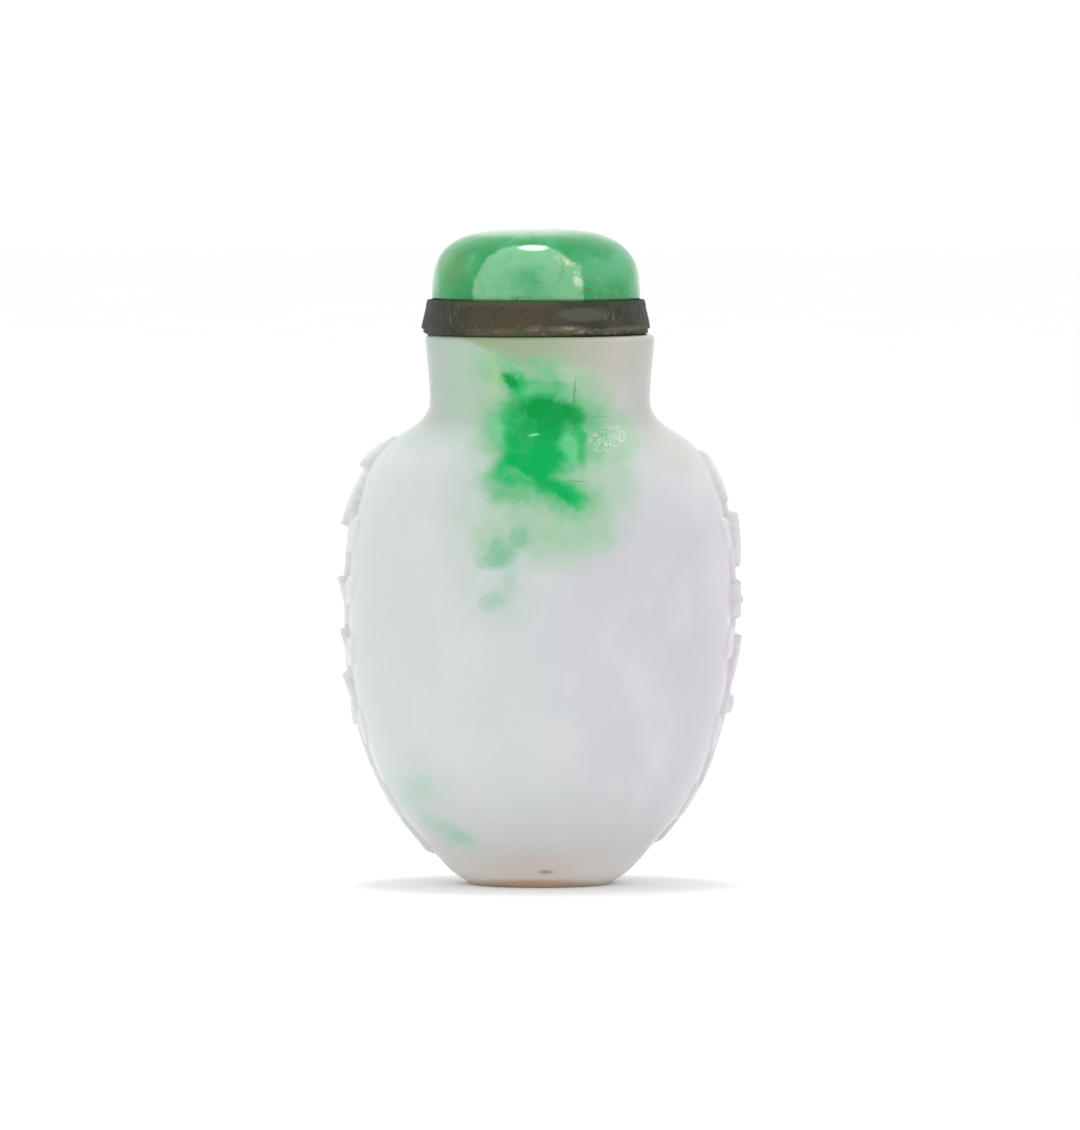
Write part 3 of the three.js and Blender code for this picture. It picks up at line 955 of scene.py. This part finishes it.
BRANCHES = {
    Side.RIGHT: Branch(
        stem=Stem(4.2, 41.5, 1.1, 17, 3),
        leaves=(
            Leaf((-0.6, 43.0), (0.4, 38.1), 3.6, (0.5, 0.85)),
            Leaf((0.9, 31.6), (-0.2, 37.1), 3.6, (1.1, 1.5)),
            Leaf((0.2, 35.0), (3.9, 39.2), 2.8, (0.4, 0.55)),
            Leaf((-0.2, 33.5), (-3.9, 36.6), 2.8, (0.4, 0.55)),
            Leaf((0.8, 31.0), (4.1, 33.4), 2.6, (0.4, 0.5)),
            Leaf((-0.2, 25.4), (-4.0, 22.8), 2.7, (0.4, 0.5)),
            Leaf((0.7, 19.7), (-0.4, 25.1), 3.1, (0.5, 1.25), 0.8),
            Leaf((0.4, 22.6), (3.9, 25.4), 2.7, (0.4, 0.5)),
            Leaf((0.2, 15.0), (3.7, 18.9), 2.7, (0.35, 0.45)),
            Leaf((0.0, 13.2), (-3.5, 17.0), 2.7, (0.35, 0.45)),
            Leaf((0.5, 9.6), (3.1, 13.2), 2.4, (0.3, 0.4)),
            Leaf((0.6, 6.8), (-2.3, 10.2), 2.4, (0.25, 0.35)),
        ),
        flowers=(Blossom((-0.2, 28.5), 2.1, 1.2), Bud((0.3, 18.1), 1.15, 1.15), Bud((-0.1, 12.2), 0.9, 0.6)),
    ),
    Side.LEFT: Branch(
        stem=Stem(3.2, 40.5, -1.1, 17, 5),
        leaves=(
            Leaf((0.5, 44.4), (-0.1, 41.4), 3.2, (0.25, 1.25)),
            Leaf((0.3, 42.3), (-0.4, 35.6), 3.8, (0.4, 1.45)),
            Leaf((0.2, 33.4), (3.9, 37.0), 2.8, (0.4, 0.55)),
            Leaf((-0.4, 32.2), (-4.0, 35.2), 2.8, (0.4, 0.5)),
            Leaf((0.5, 26.6), (-0.1, 30.8), 2.8, (0.4, 1.31), 1.7),
            Leaf((0.9, 28.6), (4.1, 30.8), 2.7, (0.4, 0.5)),
            Leaf((-2.8, 23.2), (0.5, 25.6), 2.4, (0.4, 1.1), 1.7),
            Leaf((0.4, 22.4), (3.9, 24.8), 2.7, (0.4, 0.5)),
            Leaf((0.6, 17.4), (-0.2, 21.3), 2.6, (0.4, 1.2), 1.4),
            Leaf((0.2, 19.6), (0.1, 16.0), 2.8, (0.4, 0.95), 0.8),
            Leaf((-0.4, 18.4), (-3.8, 20.8), 2.6, (0.4, 0.5)),
            Leaf((0.4, 14.2), (3.4, 17.7), 2.6, (0.3, 0.4)),
            Leaf((-0.2, 10.6), (-3.1, 14.1), 2.5, (0.25, 0.35)),
            Leaf((-0.2, 6.8), (2.4, 10.2), 2.4, (0.25, 0.35)),
        ),
        flowers=(Blossom((-2.6, 29.4), 1.9, 0.6), Bud((-0.2, 13.4), 0.9, 0.45), Bud((0.1, 4.0), 0.95, 0.4)),
    ),
}


# ---- Meshes ----


class Turning:
    """A closed turned form about a vertical axis, shaped further by moving its vertices."""

    def __init__(self, name: str, profile: Sequence[Spot], steps: int) -> None:
        """Spin a profile.

        Args:
            name: The mesh's name.
            profile: Points of (radius, height) in millimetres that start and end on the axis.
            steps: How many steps the turn has.
        """
        form = bmesh.new()
        chain = [form.verts.new((radius, 0, height)) for radius, height in profile]
        for start, end in zip(chain, chain[1:]):
            form.edges.new((start, end))
        bmesh.ops.spin(
            form, geom=[*form.verts, *form.edges], cent=(0, 0, 0), axis=(0, 0, 1), dvec=(0, 0, 0),
            angle=2 * math.pi, steps=steps, use_merge=True, use_normal_flip=False, use_duplicate=False,
        )
        bmesh.ops.remove_doubles(form, verts=form.verts, dist=1e-4)
        bmesh.ops.recalc_face_normals(form, faces=form.faces)
        self.mesh = bpy.data.meshes.new(name)
        form.to_mesh(self.mesh)
        form.free()

    def read(self, layer: bpy.types.bpy_prop_collection, key: str) -> Array:
        """Read a vector of each vertex.

        Args:
            layer: The mesh's collection that holds it.
            key: Its name there.

        Returns:
            The vectors, one row for each vertex.
        """
        numbers = np.empty(len(layer) * 3, np.float32)
        layer.foreach_get(key, numbers)
        return numbers.reshape(-1, 3).astype(float)

    def places(self) -> Array:
        """Where the vertices are, in millimetres."""
        return self.read(self.mesh.vertices, "co")

    def normals(self) -> Array:
        """The vertices' normals."""
        return self.read(self.mesh.vertex_normals, "vector")

    def move(self, places: Array) -> None:
        """Put the vertices at these places, in millimetres."""
        self.mesh.vertices.foreach_set("co", places.astype(np.float32).ravel())
        self.mesh.update()

    def piece(self, material: bpy.types.Material, middle: Vector, **numbers: Array) -> bpy.types.Object:
        """Finish the form as a piece.

        Args:
            material: Its finish.
            middle: Where the form's own origin goes, in metres.
            numbers: Numbers for each vertex that the finish reads, by name.

        Returns:
            The piece, smooth, at the origin with its place in its mesh.
        """
        self.move(self.places() * MM + np.array(middle))
        for key, values in numbers.items():
            layer = self.mesh.attributes.new(key, "FLOAT", "POINT")
            layer.data.foreach_set("value", values.astype(np.float32))
        self.mesh.polygons.foreach_set("use_smooth", [True] * len(self.mesh.polygons))
        self.mesh.materials.append(material)
        piece = bpy.data.objects.new(self.mesh.name, self.mesh)
        bpy.context.scene.collection.objects.link(piece)
        return piece


def round_edge(middle: Spot, radius: float, start: float, end: float, steps: int = 6) -> list[Spot]:
    """Points of a round on a profile.

    Args:
        middle: The round's middle, as (radius, height).
        radius: The round's own radius.
        start: The angle it starts at, in degrees.
        end: The angle it ends at, in degrees.
        steps: How many steps it has.

    Returns:
        Its points, from start to end.
    """
    angles = np.radians(np.linspace(start, end, steps + 1))
    return [(middle[0] + radius * math.cos(a), middle[1] + radius * math.sin(a)) for a in angles]


def waviness(*phases: float) -> Callable[[Array], Array]:
    """A slow irregular wave round a form, from -1 to 1.

    Args:
        phases: Where its waves start; the n-th has 2n + 3 crests.

    Returns:
        A function from angles in radians to the wave.
    """
    def wave(angle: Array) -> Array:
        """The wave at each angle."""
        return sum(np.sin((2 * n + 3) * angle + phase) for n, phase in enumerate(phases)) / len(phases)

    return wave


# ---- The bottle ----


@dataclass
class Bottle:
    """The hollowed stone bottle, with a branch carved up each narrow side."""

    height: float = 55.0
    neck_radius: float = 11.0
    neck_waist: float = 49.0
    shoulder: Triple = (41.5, 48.5, 1.3)
    mouth_radius: float = 4.2
    mouth_bottom: float = 47.0
    half_width: float = 19.15
    half_depth: float = 12.75
    widest_at: float = 27.5
    face_wall: float = 3.3
    side_wall: float = 3.5
    lip_round: float = 0.5
    recess: Spot = (4.9, 0.5)
    steps: int = 360
    crowding: float = 0.45
    outline: tuple[Spot, ...] = (
        (0, 7.0), (1.4, 9.0), (4.4, 11.7), (8.4, 14.85), (13.4, 17.05), (19.5, 18.6), (27.5, 19.15),
        (34.5, 18.8), (39.5, 17.8), (42.6, 16.5), (44.4, 14.75), (46.2, 12.1), (47.4, 11.2), (49.0, 11.0),
        (54.5, 11.45),
    )
    chamber: tuple[Spot, ...] = (
        (4.2, 0), (4.7, 6.4), (8.4, 11.2), (14.5, 14.3), (26.5, 15.65), (36, 14.4), (40.6, 11.6), (43.2, 7.6),
        (45.2, 4.2),
    )
    finish: LavenderJadeite = LavenderJadeite()

    def half_width_at(self, z: Array) -> Array:
        """Half width of the bare body, smooth through the outline's points.

        Args:
            z: The heights.

        Returns:
            The half width at each.
        """
        at, width = (np.array(column, float) for column in zip(*self.outline))
        slope = np.gradient(width, at)
        slope[1:-1] = (width[2:] - width[:-2]) / (at[2:] - at[:-2])
        z = np.clip(z, at[0], at[-1])
        i = np.clip(np.searchsorted(at, z, side="right") - 1, 0, len(at) - 2)
        gap = at[i + 1] - at[i]
        t = (z - at[i]) / gap
        return (
            (2 * t**3 - 3 * t**2 + 1) * width[i] + (t**3 - 2 * t**2 + t) * gap * slope[i]
            + (3 * t**2 - 2 * t**3) * width[i + 1] + (t**3 - t**2) * gap * slope[i + 1]
        )

    def half_depth_at(self, width: Array, z: Array) -> Array:
        """Half depth of the outside.

        Args:
            width: The half width at each point.
            z: Where it is up.

        Returns:
            The half depth at each.
        """
        low, high, step = self.shoulder
        below = self.half_depth * (width / self.half_width) ** 0.8
        swell = self.half_depth - self.neck_radius - step
        body = self.neck_radius + step * (1 - smooth(low, high, z))
        body += swell * (1 - smooth(self.widest_at, high, z))
        return np.select([z < self.widest_at, z < self.neck_waist], [below, body], width)

    def half_depth_inside(self, width: Array) -> Array:
        """Half depth of the chamber.

        Args:
            width: The half width at each point.

        Returns:
            The half depth at each.
        """
        mouth = self.mouth_radius
        slope = (self.half_depth - self.face_wall - mouth) / (self.half_width - self.side_wall - mouth)
        return np.minimum(width, mouth) + np.maximum(width - mouth, 0) * slope

    def profile(self) -> list[Spot]:
        """Draw the bottle's section, from the axis under the foot, up the outside, and down the chamber.

        Returns:
            Its points, as (radius, height).
        """
        recess, deep = self.recess
        edge = self.outline[0][1]
        foot = [(0, deep), (recess * 0.5, deep), (recess - 0.6, deep), (recess - 0.2, deep * 0.6)]
        foot += [(recess, 0.06), (recess + 0.1, 0), (edge - 0.15, 0), (edge, 0.08)]
        top = self.height - self.lip_round
        heights = np.concatenate([
            np.linspace(0.4, 3.0, 7)[:-1], np.arange(3.0, 45.0, 0.205), np.linspace(45.0, 48.0, 11)[:-1],
            np.linspace(48.0, top, 10)[:-1],
        ])
        side = zip(self.half_width_at(heights).tolist(), heights.tolist())
        lip = round_edge((self.outline[-1][1] - self.lip_round, top), self.lip_round, 0, 90)
        lip += round_edge((self.mouth_radius + self.lip_round, top), self.lip_round, 90, 180)
        at, width = zip(*self.chamber[::-1])
        share = np.linspace(0, len(at) - 1, 22)
        inside = zip(*(np.interp(share, range(len(at)), column).tolist() for column in (width, at)))
        return [*foot, *side, *lip, (self.mouth_radius, self.mouth_bottom), *inside]

    def shape(self) -> tuple[Turning, Array, Array]:
        """Turn, flatten and carve the bottle.

        Returns:
            The form, how much each vertex is carved (0 to 1), and how deep in a crevice it is (0 to 1).
        """
        form = Turning("jade_bottle", self.profile(), self.steps)
        x, y, z = form.places().T
        width, angle = np.hypot(x, y), np.arctan2(y, x)
        angle = angle - self.crowding / 2 * np.sin(2 * angle)
        inside = (z > 2) & (width < self.half_width_at(z) - 1.5)
        depth = np.where(inside, self.half_depth_inside(width), self.half_depth_at(width, z))
        rise = np.clip((width - self.neck_radius) / (self.half_width - self.neck_radius), 0, 1)
        power = np.where(inside, 1, 2 / (2 + 0.3 * rise))
        cos, sin = np.cos(angle), np.sin(angle)
        places = np.stack([
            width * np.sign(cos) * np.abs(cos) ** power, depth * np.sign(sin) * np.abs(sin) ** power, z,
        ], axis=1)
        form.move(places)
        carving, carved, crevice = np.zeros((3, len(z)))
        outside = ~inside & (z > 2) & (z < 46) & (np.abs(places[:, 1]) < 7)
        for side, branch in BRANCHES.items():
            here = outside & (places[:, 0] * side.value > 5)
            relief = Relief(branch).at(places[here, 1] * side.value, z[here])
            carving[here], carved[here], crevice[here] = relief
        form.move(places + form.normals() * carving[:, None])
        return form, carved, crevice

    def build(self) -> bpy.types.Object:
        """Make the bottle and dress it.

        Returns:
            The piece, in place of its solid.
        """
        form, carved, crevice = self.shape()
        piece = form.piece(self.finish.material(), Vector((0, 0, 0)), carved=carved, crevice=crevice)
        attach(piece, "root")
        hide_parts("bottle")
        return piece


# ---- The stopper ----


@dataclass
class Cap:
    """The stopper's domed cap, hollowed from below."""

    radius: float = 10.4
    height: float = 7.3
    squareness: float = 3.2
    lean: float = 0.009
    hollow: float = 5.4
    hollow_shift: float = -0.8
    edge: float = 0.12
    steps: int = 160
    rows: int = 56

    def profile(self) -> list[Spot]:
        """Draw the cap's section, from the top of the hollow, under the rim, and up the dome to the axis.

        Returns:
            Its points, as (radius, height).
        """
        quarter = math.pi / 2
        under = [(self.hollow * math.sin(a), self.hollow * math.cos(a)) for a in np.linspace(0, quarter, 20)]
        rim = [(self.hollow + 0.3, 0), (self.radius * 0.8, 0), (self.radius - self.edge, 0)]
        power = 2 / self.squareness
        angles = np.linspace(0.02, quarter, self.rows)[:-1]
        dome = [(self.radius * math.cos(a) ** power, self.height * math.sin(a) ** power) for a in angles]
        return [*under, *rim, *dome, (0, self.height)]

    def build(self, middle: Vector) -> bpy.types.Object:
        """Make the cap and dress it.

        Args:
            middle: The middle of its flat underside, in metres.

        Returns:
            The piece, in place of its solid.
        """
        form = Turning("jade_cap", self.profile(), self.steps)
        places = form.places()
        x, y, z = places.T
        width = np.hypot(x, y)
        under = (width <= self.hollow + 1e-3) & (z <= self.hollow + 1e-3)
        swell = np.where(under, 0, smooth(0.5, 0.85, z / self.height) * smooth(1.0, 0.9, z / self.height))
        scale = 1 - swell * self.lean * x / np.maximum(width, 1e-6)
        places[:, 0] += np.where(under, self.hollow_shift, 0)
        places[:, :2] *= scale[:, None]
        form.move(places)
        seat = Vector(middle) / MM
        finish = GreenJadeite(middle=(seat.x + self.hollow_shift, seat.z + 0.3))
        piece = form.piece(finish.material(), middle)
        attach(piece, "root")
        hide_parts("stopper_cap")
        return piece


@dataclass
class Collar:
    """The stopper's worn metal collar, with its plug in the mouth."""

    foot: float = 10.9
    widest: float = 11.5
    widest_at: float = 0.7
    rim: float = 10.85
    seat: float = 3.2
    top: float = 3.45
    bezel: float = 0.25
    plug_radius: float = 3.7
    plug_length: float = 5.0
    plug_round: float = 0.4
    inset: float = 0.04
    dent: float = 0.05
    nick: float = 0.07
    claw: float = 0.14
    lap: float = 0.08
    rag: float = 0.1
    steps: int = 240
    finish: WornBronze = WornBronze()

    def profile(self) -> list[Spot]:
        """Draw the collar's section, from the plug's end, round the collar, to the cap's seat.

        Returns:
            Its points, as (radius, height).
        """
        plug, soft, inner = self.plug_radius, self.plug_round, self.rim - self.bezel
        heights = np.linspace(self.widest_at, self.top - 0.08, 22).tolist()
        slope = (self.widest - self.rim) / (self.top - self.widest_at)
        return [
            (0, -self.plug_length), (plug - soft, -self.plug_length),
            *round_edge((plug - soft, soft - self.plug_length), soft, -60, 0, 3),
            (plug, -0.2), (plug + 0.1, 0), (self.foot - 1, 0), (self.foot, 0), (self.foot + 0.4, 0.22),
            (self.widest - 0.25, self.widest_at - 0.22), (self.widest - 0.06, self.widest_at - 0.08),
            *((self.widest - (height - self.widest_at) * slope, height) for height in heights),
            (self.rim - 0.03, self.top), (inner + 0.02, self.top), (inner, self.top - 0.05),
            (inner, self.seat + 0.02), (inner - 0.1, self.seat), (0, self.seat),
        ]

    def build(self, middle: Vector) -> bpy.types.Object:
        """Make the collar and dress it.

        Args:
            middle: The middle of its underside, in metres.

        Returns:
            The piece, in place of its solid.
        """
        form = Turning("bronze_collar", self.profile(), self.steps)
        places = form.places()
        x, y, z = places.T
        width, angle = np.hypot(x, y), np.arctan2(y, x)
        skin = (width > self.foot + 0.1) & (z > 0.05)
        low, high = smooth(1.6, 0.5, z), smooth(self.top - 1.0, self.top, z)
        dents = waviness(0.3, 1.9, 4.4, 2.2, 0.8, 5.1)(angle)
        nicks = smooth(0.3, 1.0, np.sin(9 * angle + 1.3)) * low
        claws = smooth(0.55, 0.95, np.sin(13 * angle + 0.4)) * high
        claws *= smooth(-1.1, -0.8, angle) * smooth(0.6, 0.2, angle)
        seam = 0.85 + 0.16 * np.sin(11 * angle) + 0.08 * np.sin(23 * angle + 1)
        plate = smooth(-1.42, -1.4, angle) * smooth(-0.25, -0.3, angle) * smooth(seam - 0.03, seam + 0.03, z)
        outward = self.lap * plate - self.inset - self.dent * dents - self.nick * nicks - self.claw * claws
        ragged = self.rag * waviness(2.0, 0.5, 3.3, 1.2, 4.0, 2.6, 0.1)(angle) * low * smooth(0.1, 0.5, z)
        scale = 1 + np.where(skin, outward, 0) / np.maximum(width, 1)
        places[:, 2] += np.where(skin, ragged, 0)
        places[:, :2] *= scale[:, None]
        form.move(places)
        worn = np.where(skin, low * 0.8 + high * 0.5, 0) * (0.4 + 0.6 * smooth(-0.3, 0.5, dents))
        piece = form.piece(self.finish.material(), middle, worn=worn)
        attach(piece, "root")
        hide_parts("stopper_collar")
        return piece


# ---- The studio ----


@dataclass
class Studio:
    """The white floor, the soft light and the camera, in metres."""

    floor_size: float = 6.0
    sky: float = 1.05
    lamp_place: Triple = (-0.016, 0.08, 0.8)
    lamp_size: Spot = (0.22, 0.28)
    lamp_power: float = 2.0
    distance: float = 1.0
    elevation: float = 3.0
    aim: Triple = (0.0, 0.0, 0.0319)
    frame_height: float = 0.113
    sensor: float = 36.0

    def lay_floor(self) -> None:
        """Lay the floor under the bottle."""
        plane = bmesh.new()
        bmesh.ops.create_grid(plane, x_segments=1, y_segments=1, size=self.floor_size / 2)
        mesh = bpy.data.meshes.new("studio_floor")
        plane.to_mesh(mesh)
        plane.free()
        mesh.materials.append(StudioWhite().material())
        floor = bpy.data.objects.new("studio_floor", mesh)
        bpy.context.scene.collection.objects.link(floor)

    def mount(self, name: str, data: bpy.types.ID, place: Vector) -> bpy.types.Object:
        """Put a lamp or a camera in the room.

        Args:
            name: Its name.
            data: The lamp or the camera.
            place: Where it goes, in metres.

        Returns:
            Its object, which faces the bottle.
        """
        mounted = bpy.data.objects.new(name, data)
        mounted.location = place
        mounted.rotation_euler = (Vector(self.aim) - place).to_track_quat("-Z", "Y").to_euler()
        bpy.context.scene.collection.objects.link(mounted)
        return mounted

    def light_room(self) -> None:
        """Make the white room and hang the lamp."""
        world = bpy.data.worlds.new("white_room")
        world.use_nodes = True
        room = world.node_tree.nodes["Background"]
        room.inputs["Color"].default_value = (1, 1, 1, 1)
        room.inputs["Strength"].default_value = self.sky
        bpy.context.scene.world = world
        lamp = bpy.data.lights.new("overhead_softbox", "AREA")
        lamp.shape = "ELLIPSE"
        lamp.size, lamp.size_y = self.lamp_size
        lamp.energy = self.lamp_power
        self.mount("overhead_softbox", lamp, Vector(self.lamp_place))

    def set_camera(self) -> None:
        """Set the camera in front of the bottle, a little above it."""
        camera = bpy.data.cameras.new("camera")
        camera.sensor_fit = "VERTICAL"
        camera.sensor_height = self.sensor
        camera.lens = self.sensor * self.distance / self.frame_height
        camera.clip_start, camera.clip_end = 0.01, 50
        angle = math.radians(self.elevation)
        place = Vector(self.aim) + self.distance * Vector((0, -math.cos(angle), math.sin(angle)))
        bpy.context.scene.camera = self.mount("camera", camera, place)

    def build(self) -> None:
        """Set up the floor, the light, the camera and the plain view."""
        self.lay_floor()
        self.light_room()
        self.set_camera()
        bpy.context.scene.view_settings.view_transform = "Standard"


def main() -> None:
    """Build the bottle and its stopper around the frame."""
    logging.basicConfig(level=logging.INFO, format="%(name)s: %(message)s")
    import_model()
    Studio().build()
    collar_box, cap_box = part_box("stopper_collar"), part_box("stopper_cap")
    collar, cap = Collar(), Cap()
    axis = (collar_box[0] + collar_box[1]) / 2
    under = Vector((axis.x, axis.y, collar_box[0].z + collar.plug_length * MM))
    pieces = [
        Bottle().build(),
        collar.build(under),
        cap.build(Vector((axis.x, axis.y, cap_box[0].z))),
    ]
    for piece in pieces:
        log.info("%s: %d triangles", piece.name, sum(len(face.vertices) - 2 for face in piece.data.polygons))


if __name__ == "__main__":
    main()
